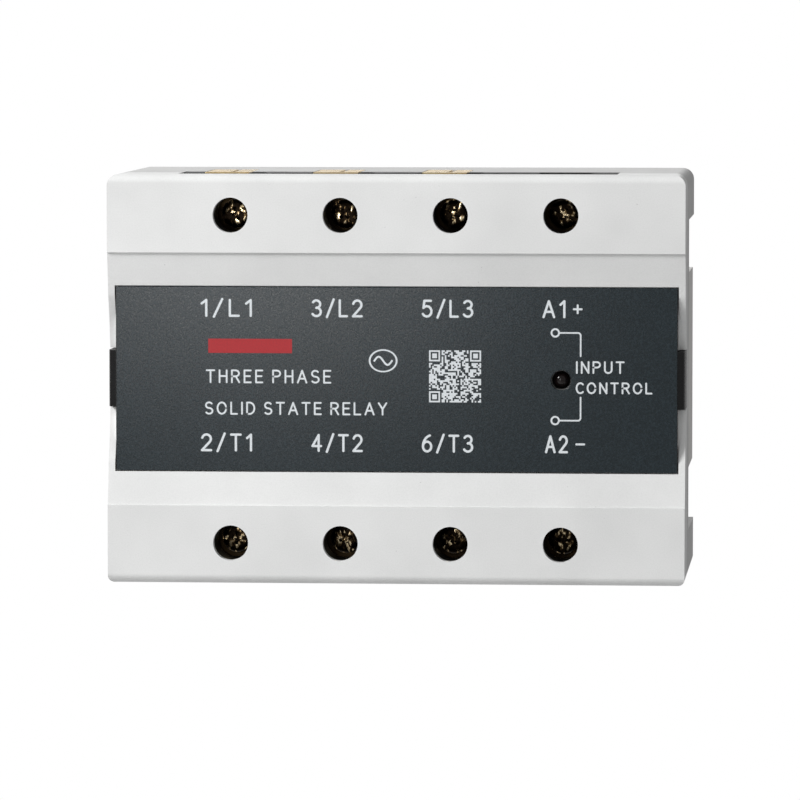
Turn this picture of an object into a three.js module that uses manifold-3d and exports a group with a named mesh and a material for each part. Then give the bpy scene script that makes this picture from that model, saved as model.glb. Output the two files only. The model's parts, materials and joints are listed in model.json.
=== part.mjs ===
// Three-phase solid state relay in a six-module case for a 35 mm mounting rail.
// Millimetres, +Z up, front facing -Y. The origin is the centre of the rail seat,
// the plane where the back of the heat sink meets the front of the rail.
// Depths are measured backwards from the flat face of the terminal shoulders.

import * as THREE from "three";
import { mergeVertices } from "three/addons/utils/BufferGeometryUtils.js";
import Module from "manifold-3d";

const wasm = await Module();
wasm.setup();

// ---------------------------------------------------------------- driving dimensions

const MODULE_WIDTH = 17.5; // one rail module
const WIDTH = 6 * MODULE_WIDTH;
const HEIGHT = 74.4;
const SEAT_DEPTH = 44; // shoulder face to rail seat
const FOOT_DEPTH = 50; // shoulder face to the back of the feet
const CORNER_UPPER = 2.1; // radii of the case's corners, seen from the front
const CORNER_LOWER = 1.3;
const EDGE = 1.6; // rounding along the long top and bottom front edges
const WALL = 2;

const COVER_DEPTH = 12; // front cover, shoulder face to parting line
const PARTING_GAP = 0.15;
const SHOULDER_EDGE = 23; // height above the centre line where a shoulder ends
const STEP = 0.4; // drop from the shoulder to the sloping band
const VALLEY = 1.7; // depth of the face of the front plate below the shoulders
const PLATE_HALF_HEIGHT = 16.75;
const PLATE_HALF_WIDTH = 51.1;
const PLATE_THICKNESS = 1.4;
const PLATE_GAP = 0.2;
const TAB_HALF_HEIGHT = 5.2;
const TAB_END = 10; // depth that the plate's side arms reach
const SCOOP_DEPTH = 5; // lowest point of the finger scoop beside each tab
const SCOOP_HALF_HEIGHT = 15.5;

const PITCH = 20; // between terminals
const TERMINAL_Z = 29.8;
const ACCESS_RADIUS = 3.2;
const POLES = [
  { name: "1", upper: "L1", lower: "T1", x: -1.5 * PITCH, power: true },
  { name: "2", upper: "L2", lower: "T2", x: -0.5 * PITCH, power: true },
  { name: "3", upper: "L3", lower: "T3", x: 0.5 * PITCH, power: true },
  { name: "control", upper: "A1", lower: "A2", x: 1.5 * PITCH, power: false },
];
const WINDOW_HALF_WIDTH = 40; // wire-entry window in the top and bottom walls
const WINDOW_DEPTH = 10.4; // front edge of that window
const LEAD_IN_DEPTH = 4.5;
const LEAD_IN_DROP = 0.45;

const HEAD_DEPTH = 11; // top of a terminal screw's head, tightened
const HEAD_RADIUS = 2.7;
const HEAD_HEIGHT = 2.2;
const SCREW_RADIUS = 1.7; // M3.5
const SCREW_LENGTH = 5.2;
const WASHER_HALF = 4.2;
const WASHER_THICKNESS = 1;
const STRAP_DEPTH = 14.7; // front of a terminal's brass plate
const STRAP_THICKNESS = 1.4;
const STRAP_BACK = STRAP_DEPTH + STRAP_THICKNESS;
const BOSS_DEPTH = 19; // closed end of the threaded boss
const BOSS_SKIN = 0.4;
const LIP_LEFT = -6.2; // the folded-back lip of a power terminal, from its screw's axis
const LIP_RIGHT = 2;
const LIP_DEPTH = 32;
const LIP_SLIT = -1.4;

const BLOCK_FRONT = 12.3; // black terminal block
const BLOCK_BACK = 19.2;
const BLOCK_INNER_Z = 22.6;
const BLOCK_OUTER_Z = 37.15;
const GUARD_FRONT = 2.3; // black plate behind the cover, with the driver guides
const GUARD_OUTER_Z = 34.9;
const GUIDE_INNER = 3.3;
const GUIDE_OUTER = 4.2;
const GUIDE_END = 9.6;
const FLOOR_FRONT = 19.4; // floor of the rear housing
const FLOOR_BACK = 21;
const UPPER_FOOT_Z = 28.5; // underside of the upper foot
const LOWER_FOOT_Z = 28.7; // upper side of the lower foot, below the centre line

const SINK_FRONT = 21.5;
const SINK_BASE = 25.5;
const SINK_TOP = 18.8;
const SINK_BOTTOM = -17.2;
const SINK_HALF_WIDTH = 52.5;
const FINS = 21;
const FIN_THICKNESS = 1.6;

const BOARD_FRONT = 12.6;
const BOARD_BACK = 14.2;
const LED_X = 1.5 * PITCH;

const CASE_SCREW_X = 46.5;
const CASE_SCREW_Z = 33.6;
const HOOK_X = 30; // centre of each fixed rail hook
const HOOK_HALF_WIDTH = 6;
const HOOK_LIP_Z = 14.6;
const CLIP_HALF_WIDTH = 14;
const CLIP_FRONT = 45.5;
const CLIP_BACK = 48.3;
const CLIP_TIP_Z = -15.2;
const SPRING_BOTTOM = -36;
const SPRING_TOP = -27.5;

// ---------------------------------------------------------------- finishes

const finish = (color, roughness, metalness = 0) => ({ color, roughness, metalness });
const WHITE_PLASTIC = finish(0xe4e4e2, 0.5);
const GREY_PLASTIC = finish(0xc2c2bf, 0.55);
const DARK_PLASTIC = finish(0x3a4145, 0.6);
const BLACK_PLASTIC = finish(0x141414, 0.55);
const BRASS = finish(0xc9a25a, 0.3, 1);
const COPPER = finish(0xb87048, 0.35, 1);
const ALUMINIUM = finish(0xb4b6b8, 0.45, 1);
const STEEL = finish(0x9c9ea0, 0.35, 1);
const BOARD_GREEN = finish(0x1f5a38, 0.5);
const CAPACITOR_YELLOW = finish(0xd8b13c, 0.4);
const RESISTOR_BLUE = finish(0x5f93b8, 0.45);
const LENS = finish(0x241416, 0.15);
const PAD_GREY = finish(0xa7aaa8, 0.8);

// ---------------------------------------------------------------- solids

// Row y of a depth measured back from the shoulder face.
const at = (depth) => depth - SEAT_DEPTH;

function solid(geometry) {
  const bare = geometry.clone();
  bare.deleteAttribute("normal");
  bare.deleteAttribute("uv");
  const merged = mergeVertices(bare, 1e-4);
  return new wasm.Manifold(
    new wasm.Mesh({
      numProp: 3,
      vertProperties: merged.attributes.position.array,
      triVerts: new Uint32Array(merged.index.array),
    }),
  );
}

// Box between two x, two depths and two z.
function block(x0, x1, d0, d1, z0, z1) {
  const geometry = new THREE.BoxGeometry(x1 - x0, d1 - d0, z1 - z0);
  geometry.translate((x0 + x1) / 2, at((d0 + d1) / 2), (z0 + z1) / 2);
  return solid(geometry);
}

// Round bar along the depth axis.
function rod(radius, d0, d1, x, z, sides = 24, frontRadius = radius) {
  const geometry = new THREE.CylinderGeometry(radius, frontRadius, d1 - d0, sides);
  geometry.translate(x, at((d0 + d1) / 2), z);
  return solid(geometry);
}

const outline = (points) => new THREE.Shape(points.map(([a, b]) => new THREE.Vector2(a, b)));

function extruded(shape, length, basis, segments) {
  const geometry = new THREE.ExtrudeGeometry(shape, {
    depth: length,
    bevelEnabled: false,
    curveSegments: segments,
  });
  return geometry.applyMatrix4(new THREE.Matrix4().makeBasis(...basis));
}

const X = new THREE.Vector3(1, 0, 0);
const Y = new THREE.Vector3(0, 1, 0);
const Z = new THREE.Vector3(0, 0, 1);

// A shape drawn in (depth, z), swept from x0 to x1.
function alongX(shape, x0, x1, segments = 5) {
  const geometry = extruded(shape, x1 - x0, [Y, Z, X], segments);
  geometry.translate(x0, at(0), 0);
  return solid(geometry);
}

// A shape drawn in (x, z), swept from depth d0 to d1.
function alongDepth(shape, d0, d1, segments = 5) {
  const geometry = extruded(shape, d1 - d0, [X, Z, Y.clone().negate()], segments);
  geometry.translate(0, at(d1), 0);
  return solid(geometry);
}

// A shape drawn in (x, depth), swept from z0 to z1.
function alongZ(shape, z0, z1, segments = 5) {
  const geometry = extruded(shape, z1 - z0, [X, Y, Z], segments);
  geometry.translate(0, at(0), z0);
  return solid(geometry);
}

function roundedRectangle(halfWidth, halfHeight, upperRadius, lowerRadius = upperRadius) {
  const shape = new THREE.Shape();
  const quarter = Math.PI / 2;
  [
    [halfWidth, -halfHeight, lowerRadius, -quarter],
    [halfWidth, halfHeight, upperRadius, 0],
    [-halfWidth, halfHeight, upperRadius, quarter],
    [-halfWidth, -halfHeight, lowerRadius, 2 * quarter],
  ].forEach(([x, z, radius, start]) => {
    const cx = x - Math.sign(x) * radius;
    const cz = z - Math.sign(z) * radius;
    shape.absarc(cx, cz, radius, start, start + quarter, false);
  });
  shape.closePath();
  return shape;
}

const union = (parts) => parts.reduce((sum, part) => sum.add(part));
const cut = (body, tools) => tools.reduce((left, tool) => left.subtract(tool), body);

const part = new THREE.Group();

function place(name, manifold, look) {
  const mesh = manifold.getMesh();
  const positions = new Float32Array(mesh.numVert * 3);
  for (let i = 0; i < mesh.numVert; i++) {
    positions.set(mesh.vertProperties.subarray(i * mesh.numProp, i * mesh.numProp + 3), i * 3);
  }
  const geometry = new THREE.BufferGeometry();
  geometry.setAttribute("position", new THREE.BufferAttribute(positions, 3));
  geometry.setIndex(new THREE.BufferAttribute(mesh.triVerts, 1));
  geometry.computeVertexNormals();
  const node = new THREE.Mesh(geometry, new THREE.MeshStandardMaterial(look));
  node.name = name;
  part.add(node);
}

// Every terminal position: the pole it belongs to and the side of the case it is on.
const terminals = POLES.flatMap((pole) => [
  { ...pole, label: pole.upper, side: 1 },
  { ...pole, label: pole.lower, side: -1 },
]);
const powerPoles = POLES.filter((pole) => pole.power);
const fourCorners = (x, z) => [-1, 1].flatMap((sx) => [-1, 1].map((sz) => [sx * x, sz * z]));
const caseScrews = fourCorners(CASE_SCREW_X, CASE_SCREW_Z);
const boardPosts = fourCorners(46, 17);
// A block given by its distances from the centre line, on the upper or lower side.
const sided = (side, x0, x1, d0, d1, zNear, zFar) =>
  side > 0 ? block(x0, x1, d0, d1, zNear, zFar) : block(x0, x1, d0, d1, -zFar, -zNear);

// ---------------------------------------------------------------- front cover

function frontCover() {
  const half = HEIGHT / 2;
  const profile = new THREE.Shape();
  profile.moveTo(COVER_DEPTH, half);
  profile.lineTo(EDGE, half);
  profile.absarc(EDGE, half - EDGE, EDGE, Math.PI / 2, Math.PI, false);
  profile.lineTo(0, SHOULDER_EDGE);
  profile.lineTo(STEP, SHOULDER_EDGE - 0.1);
  profile.lineTo(VALLEY, PLATE_HALF_HEIGHT);
  profile.lineTo(VALLEY, -PLATE_HALF_HEIGHT);
  profile.lineTo(STEP, -SHOULDER_EDGE + 0.1);
  profile.lineTo(0, -SHOULDER_EDGE);
  profile.lineTo(0, -half + EDGE);
  profile.absarc(EDGE, -half + EDGE, EDGE, Math.PI, 1.5 * Math.PI, false);
  profile.lineTo(COVER_DEPTH, -half);
  profile.closePath();

  const body = alongX(profile, -WIDTH / 2, WIDTH / 2).intersect(
    alongDepth(roundedRectangle(WIDTH / 2, half, CORNER_UPPER, CORNER_LOWER), -1, COVER_DEPTH + 1),
  );
  const inside = WIDTH / 2 - WALL - PLATE_GAP;
  const barrier = 21.5; // the walls that part the electronics from the terminal rows
  const plateFloor = VALLEY + PLATE_THICKNESS + 0.1;
  const back = COVER_DEPTH + 1;
  const hollows = [
    block(-inside, inside, plateFloor + 1.6, back, -barrier, barrier),
    ...[1, -1].map((side) => sided(side, -inside, inside, WALL, back, 24, half - WALL)),
  ];
  const seat = block(
    -PLATE_HALF_WIDTH - PLATE_GAP,
    PLATE_HALF_WIDTH + PLATE_GAP,
    -1,
    plateFloor,
    -PLATE_HALF_HEIGHT - PLATE_GAP,
    PLATE_HALF_HEIGHT + PLATE_GAP,
  );
  const drop = SCOOP_DEPTH - VALLEY;
  const scoopRadius = (SCOOP_HALF_HEIGHT ** 2 + drop ** 2) / (2 * drop);
  const scoopShape = new THREE.Shape().absarc(SCOOP_DEPTH - scoopRadius, 0, scoopRadius, 0, 2 * Math.PI);
  const sides = [-1, 1].flatMap((side) => {
    const inner = side * (PLATE_HALF_WIDTH + PLATE_GAP);
    const outer = side * (WIDTH / 2 + 1);
    const [x0, x1] = [Math.min(inner, outer), Math.max(inner, outer)];
    const slot = PLATE_HALF_WIDTH - 0.15;
    const [s0, s1] = side > 0 ? [slot, outer] : [outer, -slot];
    return [
      alongX(scoopShape, x0, x1, 72),
      block(s0, s1, -1, TAB_END + 0.3, -TAB_HALF_HEIGHT - 0.25, TAB_HALF_HEIGHT + 0.25),
    ];
  });
  const holes = terminals.map((t) => rod(ACCESS_RADIUS, -1, WALL + 1, t.x, t.side * TERMINAL_Z, 32));
  const windows = [1, -1].map((side) =>
    sided(side, -WINDOW_HALF_WIDTH, WINDOW_HALF_WIDTH, WINDOW_DEPTH, back, half - WALL - 1, half + 1),
  );
  // a shallow lead-in for the wires, in front of each window
  const leadIns = [1, -1].map((side) =>
    sided(side, -WINDOW_HALF_WIDTH, WINDOW_HALF_WIDTH, LEAD_IN_DEPTH, back, half - LEAD_IN_DROP, half + 1),
  );
  const shell = cut(body, [...hollows, seat, ...sides, ...holes, ...windows, ...leadIns]);
  const bosses = caseScrews.map(([x, z]) => rod(2.8, WALL - 0.5, COVER_DEPTH, x, z, 20));
  return cut(union([shell, ...bosses]), [
    ...caseScrews.map(([x, z]) => rod(1.45, 4, back, x, z, 12)),
    rod(1.7, -1, 8, LED_X, 0, 20),
  ]);
}
place("front_cover", frontCover(), WHITE_PLASTIC);

// ---------------------------------------------------------------- front plate with its side arms

function frontPlate() {
  const face = alongDepth(
    roundedRectangle(PLATE_HALF_WIDTH, PLATE_HALF_HEIGHT, 0.4),
    VALLEY,
    VALLEY + PLATE_THICKNESS,
    3,
  );
  const arms = [-1, 1].map((side) => {
    const points = [
      [50.8, 3.1],
      [50.8, 2],
      [51.5, 2],
      [52.2, 2.3],
      [52.45, 2.9],
      [52.45, TAB_END],
      [51.8, TAB_END],
      [PLATE_HALF_WIDTH, TAB_END - 0.8],
      [PLATE_HALF_WIDTH, 3.1],
    ];
    return alongZ(outline(points.map(([x, d]) => [side * x, d])), -TAB_HALF_HEIGHT, TAB_HALF_HEIGHT);
  });
  return cut(union([face, ...arms]), [rod(1.85, 0, 5, LED_X, 0, 24)]);
}
place("front_plate", frontPlate(), DARK_PLASTIC);

// ---------------------------------------------------------------- rear housing with feet and rail hooks

const FOOT_POCKET_X = [-2.5, -1.5, -0.5, 0.5, 1.5, 2.5].map((n) => n * MODULE_WIDTH);

function rearHousing() {
  const half = HEIGHT / 2;
  const front = COVER_DEPTH + PARTING_GAP;
  const inside = WIDTH / 2 - WALL - PLATE_GAP;
  const beyond = FOOT_DEPTH + 1;
  const body = alongDepth(roundedRectangle(WIDTH / 2, half, CORNER_UPPER, CORNER_LOWER), front, FOOT_DEPTH);
  const tray = block(-inside, inside, front - 1, FLOOR_FRONT, -half + WALL, half - WALL);
  const middle = block(-WIDTH, WIDTH, FLOOR_BACK, beyond, -LOWER_FOOT_Z, UPPER_FOOT_Z);
  const windows = [1, -1].map((side) =>
    sided(side, -WINDOW_HALF_WIDTH, WINDOW_HALF_WIDTH, front - 1, FLOOR_FRONT, half - WALL - 1, half + 1),
  );
  const lips = terminals
    .filter((t) => t.power)
    .map((t) => {
      const [lipLeft, lipRight] = [t.x + LIP_LEFT - 0.2, t.x + LIP_RIGHT + 0.2];
      return sided(t.side, lipLeft, lipRight, FLOOR_FRONT - 1, LIP_DEPTH + 0.3, 35.5, half + 1);
    });
  const pockets = FOOT_POCKET_X.flatMap((x) => {
    const outermost = Math.abs(x) > 2 * MODULE_WIDTH;
    const start = outermost ? 23 : 33;
    const halfPocket = 7.4;
    const upper = block(x - halfPocket, x + halfPocket, start, beyond, 30.1, outermost ? 36 : 35.2);
    const central = Math.abs(x) < MODULE_WIDTH;
    if (central) return [upper];
    return [upper, block(x - halfPocket, x + halfPocket, start, beyond, -36.1, -31.1)];
  });
  const clipWays = [
    block(-CLIP_HALF_WIDTH - 0.3, CLIP_HALF_WIDTH + 0.3, CLIP_FRONT - 0.3, CLIP_BACK + 0.3, -32, -28),
    block(-CLIP_HALF_WIDTH - 2.8, CLIP_HALF_WIDTH + 2.8, CLIP_FRONT - 0.3, CLIP_BACK + 0.3, -38, -31.5),
    block(-8, 8, CLIP_BACK, beyond, -38, -33),
    block(-2.6, 2.6, 40.4, CLIP_FRONT, SPRING_BOTTOM - 0.2, -28),
  ];
  const triacWindows = powerPoles.map((p) =>
    block(p.x - 8.6, p.x + 8.6, FLOOR_FRONT - 1, FLOOR_BACK + 1, -10.2, 12),
  );
  const shell = cut(body, [tray, middle, ...windows, ...lips, ...pockets, ...clipWays, ...triacWindows]);

  const hook = outline([
    [42, UPPER_FOOT_Z + 0.5],
    [48.3, UPPER_FOOT_Z + 0.5],
    [48.3, 16.6],
    [46.9, HOOK_LIP_Z],
    [45.9, HOOK_LIP_Z],
    [45.3, 15.3],
    [45.3, SINK_TOP + 0.4],
    [42, SINK_TOP + 0.4],
  ]);
  const added = [
    ...[-HOOK_X, HOOK_X].map((x) => alongX(hook, x - HOOK_HALF_WIDTH, x + HOOK_HALF_WIDTH)),
    ...caseScrews.map(([x, z]) => rod(2.8, front, FLOOR_BACK, x, z, 20)),
    ...boardPosts.map(([x, z]) => rod(2, BOARD_BACK + 0.1, FLOOR_BACK, x, z, 16)),
  ];
  return cut(union([shell, ...added]), caseScrews.map(([x, z]) => rod(1.6, front - 1, 24, x, z, 16)));
}
place("rear_housing", rearHousing(), GREY_PLASTIC);

// ---------------------------------------------------------------- terminal blocks

function terminalBlock(side) {
  const body = union([
    sided(side, -39.8, 39.8, BLOCK_FRONT, BLOCK_BACK, BLOCK_INNER_Z, BLOCK_OUTER_Z),
    sided(side, -39.8, 39.8, GUARD_FRONT, BLOCK_FRONT + 1, 24.3, GUARD_OUTER_Z),
  ]);
  const beyond = BLOCK_OUTER_Z + 1;
  const row = terminals.filter((t) => t.side === side);
  const pockets = row.flatMap((t) => {
    const left = t.power ? LIP_LEFT : -4.4;
    const cuts = [
      sided(side, t.x + left - 0.2, t.x + 5.2, GUARD_FRONT + 1.2, STRAP_DEPTH + 0.1, 25.3, beyond),
      sided(side, t.x + left - 0.2, t.x + 4.6, STRAP_DEPTH - 0.1, STRAP_BACK + 0.15, 23.2, beyond),
      rod(3.3, STRAP_DEPTH, BLOCK_BACK + 1, t.x, side * TERMINAL_Z, 20),
      sided(side, t.x - 3.1, t.x + 3.1, STRAP_DEPTH, 17.6, BLOCK_INNER_Z - 1, 25.6),
    ];
    if (t.power) {
      const [lipLeft, lipRight] = [t.x + LIP_LEFT - 0.2, t.x + LIP_RIGHT + 0.2];
      cuts.push(sided(side, lipLeft, lipRight, STRAP_DEPTH, BLOCK_BACK + 1, 35.5, beyond));
    }
    return cuts;
  });
  // driver guides: a tube behind each hole of the cover, ending above the raised screw head
  const tubes = row.map((t) => rod(GUIDE_OUTER, GUARD_FRONT, GUIDE_END, t.x, side * TERMINAL_Z, 28));
  const bores = row.map((t) => rod(GUIDE_INNER, GUARD_FRONT - 1, GUIDE_END + 1, t.x, side * TERMINAL_Z, 28));
  return cut(union([cut(body, pockets), ...tubes]), bores);
}
place("terminal_block_upper", terminalBlock(1), BLACK_PLASTIC);
place("terminal_block_lower", terminalBlock(-1), BLACK_PLASTIC);

// ---------------------------------------------------------------- terminals: strap, washer and screw

function strap(t) {
  const left = t.power ? LIP_LEFT : -4.4;
  const outer = t.power ? HEIGHT / 2 : 35;
  const pieces = [
    sided(t.side, t.x + left, t.x + 4.4, STRAP_DEPTH, STRAP_BACK, 23.4, outer),
    rod(3, STRAP_BACK - 0.5, BOSS_DEPTH, t.x, t.side * TERMINAL_Z, 20),
  ];
  const cuts = [rod(1.85, STRAP_DEPTH - 1, BOSS_DEPTH - BOSS_SKIN, t.x, t.side * TERMINAL_Z, 16)];
  if (t.power) {
    pieces.push(sided(t.side, t.x + LIP_LEFT, t.x + LIP_RIGHT, STRAP_DEPTH, LIP_DEPTH, 35.8, outer));
    cuts.push(sided(t.side, t.x + LIP_RIGHT, t.x + 5, 0, BOSS_DEPTH, 35.2, 38));
    const slit = t.x + LIP_SLIT;
    cuts.push(sided(t.side, slit - 0.4, slit + 0.4, STRAP_BACK + 0.6, LIP_DEPTH + 1, 34, 38));
  } else {
    // the control terminals carry on inwards as a tail that meets the board
    pieces.push(sided(t.side, t.x - 2, t.x + 2, STRAP_DEPTH, STRAP_BACK, 18, 24));
    pieces.push(sided(t.side, t.x - 2, t.x + 2, BOARD_BACK + 0.15, STRAP_BACK, 18, 19.2));
  }
  return cut(union(pieces), cuts);
}

function washer(t) {
  const front = HEAD_DEPTH + HEAD_HEIGHT + 0.05;
  const z = t.side * TERMINAL_Z;
  const [x0, x1] = [t.x - WASHER_HALF, t.x + WASHER_HALF];
  const plate = block(x0, x1, front, front + WASHER_THICKNESS, z - WASHER_HALF, z + WASHER_HALF);
  return cut(plate, [rod(1.95, front - 1, front + 2, t.x, z, 16)]);
}

function terminalScrew(t) {
  const z = t.side * TERMINAL_Z;
  const under = HEAD_DEPTH + HEAD_HEIGHT;
  const head = union([
    rod(HEAD_RADIUS, HEAD_DEPTH + 0.6, under, t.x, z, 24),
    rod(HEAD_RADIUS, HEAD_DEPTH, HEAD_DEPTH + 0.6, t.x, z, 24, HEAD_RADIUS - 0.7),
  ]);
  const shank = union([
    rod(SCREW_RADIUS, under - 0.5, under + SCREW_LENGTH - 0.5, t.x, z, 16),
    rod(1.3, under + SCREW_LENGTH - 0.5, under + SCREW_LENGTH, t.x, z, 16, SCREW_RADIUS),
  ]);
  const wing = 1.6;
  const slots = [
    block(t.x - HEAD_RADIUS - 1, t.x + HEAD_RADIUS + 1, HEAD_DEPTH - 1, HEAD_DEPTH + 1, z - 0.4, z + 0.4),
    block(t.x - wing, t.x + wing, HEAD_DEPTH - 1, HEAD_DEPTH + 1.5, z - 0.5, z + 0.5),
    block(t.x - 0.5, t.x + 0.5, HEAD_DEPTH - 1, HEAD_DEPTH + 1.5, z - wing, z + wing),
  ];
  return cut(union([head, shank]), slots);
}

terminals.forEach((t) => {
  place(`terminal_${t.label}`, strap(t), BRASS);
  place(`washer_${t.label}`, washer(t), BRASS);
  place(`screw_${t.label}`, terminalScrew(t), BRASS);
});

// ---------------------------------------------------------------- heat sink and what is bolted to it

const TRIAC_BOTTOM = -9.5;
const TRIAC_TOP = 11.3;
const TRIAC_HOLE_Z = 7;
const TRIAC_FRONT = 16.1;
const TRIAC_BACK = 20.9;

function heatSink() {
  const step = (2 * SINK_HALF_WIDTH - FIN_THICKNESS) / (FINS - 1);
  const points = [
    [SINK_HALF_WIDTH, SINK_FRONT],
    [-SINK_HALF_WIDTH, SINK_FRONT],
  ];
  for (let i = 0; i < FINS; i++) {
    const x = -SINK_HALF_WIDTH + i * step;
    if (i > 0) points.push([x, SINK_BASE]);
    points.push([x, SEAT_DEPTH], [x + FIN_THICKNESS, SEAT_DEPTH]);
    if (i < FINS - 1) points.push([x + FIN_THICKNESS, SINK_BASE]);
  }
  return cut(
    alongZ(outline(points), SINK_BOTTOM, SINK_TOP),
    powerPoles.map((p) => rod(1.6, SINK_FRONT - 1, 24.6, p.x, TRIAC_HOLE_Z, 12)),
  );
}
place("heat_sink", heatSink(), ALUMINIUM);

const sheet = cut(
  block(-40, 20, 21.08, 21.42, -12, 13.5),
  powerPoles.map((p) => rod(2, 20, 23, p.x, TRIAC_HOLE_Z, 12)),
);
place("insulating_sheet", sheet, PAD_GREY);

function triac(x) {
  const body = cut(block(x - 7.9, x + 7.9, TRIAC_FRONT, TRIAC_BACK, TRIAC_BOTTOM, TRIAC_TOP), [
    rod(1.8, TRIAC_FRONT - 1, TRIAC_BACK + 1, x, TRIAC_HOLE_Z, 16),
  ]);
  const legs = [-5.4, 0, 5.4].flatMap((dx) => [
    block(x + dx - 0.6, x + dx + 0.6, 18, 18.7, -13, TRIAC_BOTTOM + 0.5),
    block(x + dx - 0.6, x + dx + 0.6, BOARD_BACK + 0.1, 18.7, -13, -12.3),
  ]);
  return union([body, ...legs]);
}

powerPoles.forEach((p) => {
  place(`triac_${p.name}`, triac(p.x), BLACK_PLASTIC);
  const head = rod(2.7, 14.5, TRIAC_FRONT - 0.05, p.x, TRIAC_HOLE_Z, 20);
  const shank = rod(1.4, TRIAC_FRONT - 0.2, 24.2, p.x, TRIAC_HOLE_Z, 12);
  const slot = block(p.x - 2, p.x + 2, 14, 15.2, TRIAC_HOLE_Z - 0.35, TRIAC_HOLE_Z + 0.35);
  place(`triac_screw_${p.name}`, cut(union([head, shank]), [slot]), STEEL);
});

// ---------------------------------------------------------------- circuit board and its parts

place("circuit_board", block(-49, 49, BOARD_FRONT, BOARD_BACK, -20.8, 20.8), BOARD_GREEN);

function optocoupler(x) {
  const z = 13;
  const body = block(x - 4.4, x + 4.4, 8.6, 12, z - 3.2, z + 3.2);
  const legs = [-1, 1].flatMap((side) =>
    [-2.54, 0, 2.54].map((dx) => sidedLeg(x + dx, z, side)),
  );
  return union([body, ...legs]);
}

// One pin of a dual-in-line package, out of its side and down to the board.
function sidedLeg(x, z, side) {
  const [near, far] = [z + side * 3, z + side * 4];
  return block(x - 0.4, x + 0.4, 10, BOARD_FRONT - 0.05, Math.min(near, far), Math.max(near, far));
}

function resistor(x) {
  const z = 3;
  const body = new THREE.CylinderGeometry(1.6, 1.6, 9, 16).rotateZ(Math.PI / 2);
  body.translate(x, at(10.2), z);
  const legs = [-1, 1].flatMap((side) => {
    const [near, far] = [x + side * 4.2, x + side * 6];
    const [x0, x1] = [Math.min(near, far), Math.max(near, far)];
    return [
      block(x0, x1, 9.9, 10.5, z - 0.3, z + 0.3),
      block(x + side * 5.7 - 0.3, x + side * 5.7 + 0.3, 9.9, BOARD_FRONT - 0.05, z - 0.3, z + 0.3),
    ];
  });
  return union([solid(body), ...legs]);
}

powerPoles.forEach((p) => {
  place(`optocoupler_${p.name}`, optocoupler(p.x), BLACK_PLASTIC);
  place(`snubber_resistor_${p.name}`, resistor(p.x), RESISTOR_BLUE);
  place(`snubber_capacitor_${p.name}`, block(p.x - 6.5, p.x + 6.5, 5.8, 12.5, -14, -8), CAPACITOR_YELLOW);
});

function statusLed() {
  const dome = new THREE.LatheGeometry(
    [
      [0, -3.9],
      [1.5, -3.9],
      [1.5, 0],
      ...[1, 2, 3, 4, 5].map((i) => [1.5 * Math.cos((i * Math.PI) / 12), 1.5 * Math.sin((i * Math.PI) / 12)]),
      [0, 1.5],
    ].map(([r, h]) => new THREE.Vector2(r, h)),
    20,
  );
  dome.rotateX(Math.PI);
  dome.translate(LED_X, at(3.6), 0);
  const rim = rod(1.95, 6.8, 7.6, LED_X, 0, 20);
  const legs = [-1.27, 1.27].map((dx) => block(LED_X + dx - 0.25, LED_X + dx + 0.25, 7.4, 12.5, -0.25, 0.25));
  return union([solid(dome), rim, ...legs]);
}
place("status_led", statusLed(), LENS);

// Copper straps from the back of each power terminal to the board.
terminals
  .filter((t) => t.power)
  .forEach((t) => {
    const flat = sided(t.side, t.x - 2.8, t.x + 2.8, 16.4, 17.3, 15, 25.2);
    const riser = sided(t.side, t.x - 2.8, t.x + 2.8, BOARD_BACK + 0.15, 17.3, 15, 15.9);
    place(`busbar_${t.label}`, union([flat, riser]), COPPER);
  });

// ---------------------------------------------------------------- rail clip, spring and case screws

function railClip() {
  const tongue = outline([
    [CLIP_FRONT, CLIP_TIP_Z - 0.6],
    [CLIP_FRONT + 0.6, CLIP_TIP_Z],
    [CLIP_FRONT + 1.4, CLIP_TIP_Z],
    [CLIP_BACK, CLIP_TIP_Z - 2.2],
    [CLIP_BACK, -37],
    [CLIP_FRONT, -37],
  ]);
  const ears = block(-CLIP_HALF_WIDTH - 2.5, CLIP_HALF_WIDTH + 2.5, CLIP_FRONT, CLIP_BACK, -37, -31.8);
  const lug = block(-1.9, 1.9, 41, CLIP_FRONT + 0.5, SPRING_TOP + 0.1, SPRING_TOP + 1.8);
  const slot = block(-4, 4, CLIP_FRONT - 1, CLIP_BACK + 1, -35.9, -34.3);
  const fork = block(-2.5, 2.5, CLIP_FRONT - 1, CLIP_BACK + 1, -22, CLIP_TIP_Z + 1);
  return cut(union([alongX(tongue, -CLIP_HALF_WIDTH, CLIP_HALF_WIDTH), ears, lug]), [slot, fork]);
}
place("rail_clip", railClip(), BLACK_PLASTIC);

class Helix extends THREE.Curve {
  getPoint(t) {
    const turns = 5;
    const radius = 1.55;
    const wire = 0.25;
    const angle = 2 * Math.PI * turns * t;
    const low = SPRING_BOTTOM + wire;
    const high = SPRING_TOP - wire;
    return new THREE.Vector3(
      radius * Math.cos(angle),
      at(43) + radius * Math.sin(angle),
      low + (high - low) * t,
    );
  }
}
const wireSection = new THREE.Shape().absarc(0, 0, 0.25, 0, 2 * Math.PI);
const coil = new THREE.ExtrudeGeometry(wireSection, {
  steps: 60,
  extrudePath: new Helix(),
  curveSegments: 6,
});
place("clip_spring", solid(coil), STEEL);

caseScrews.forEach(([x, z], i) => {
  const head = rod(2.2, 23.05, 25, x, z, 16, 2.2);
  const shank = rod(1.2, 5, 23.3, x, z, 10);
  const wing = 1.3;
  const cross = [
    block(x - wing, x + wing, 24, 26, z - 0.3, z + 0.3),
    block(x - 0.3, x + 0.3, 24, 26, z - wing, z + wing),
  ];
  place(`case_screw_${i + 1}`, cut(union([head, shank]), cross), STEEL);
});

export default part;
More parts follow.
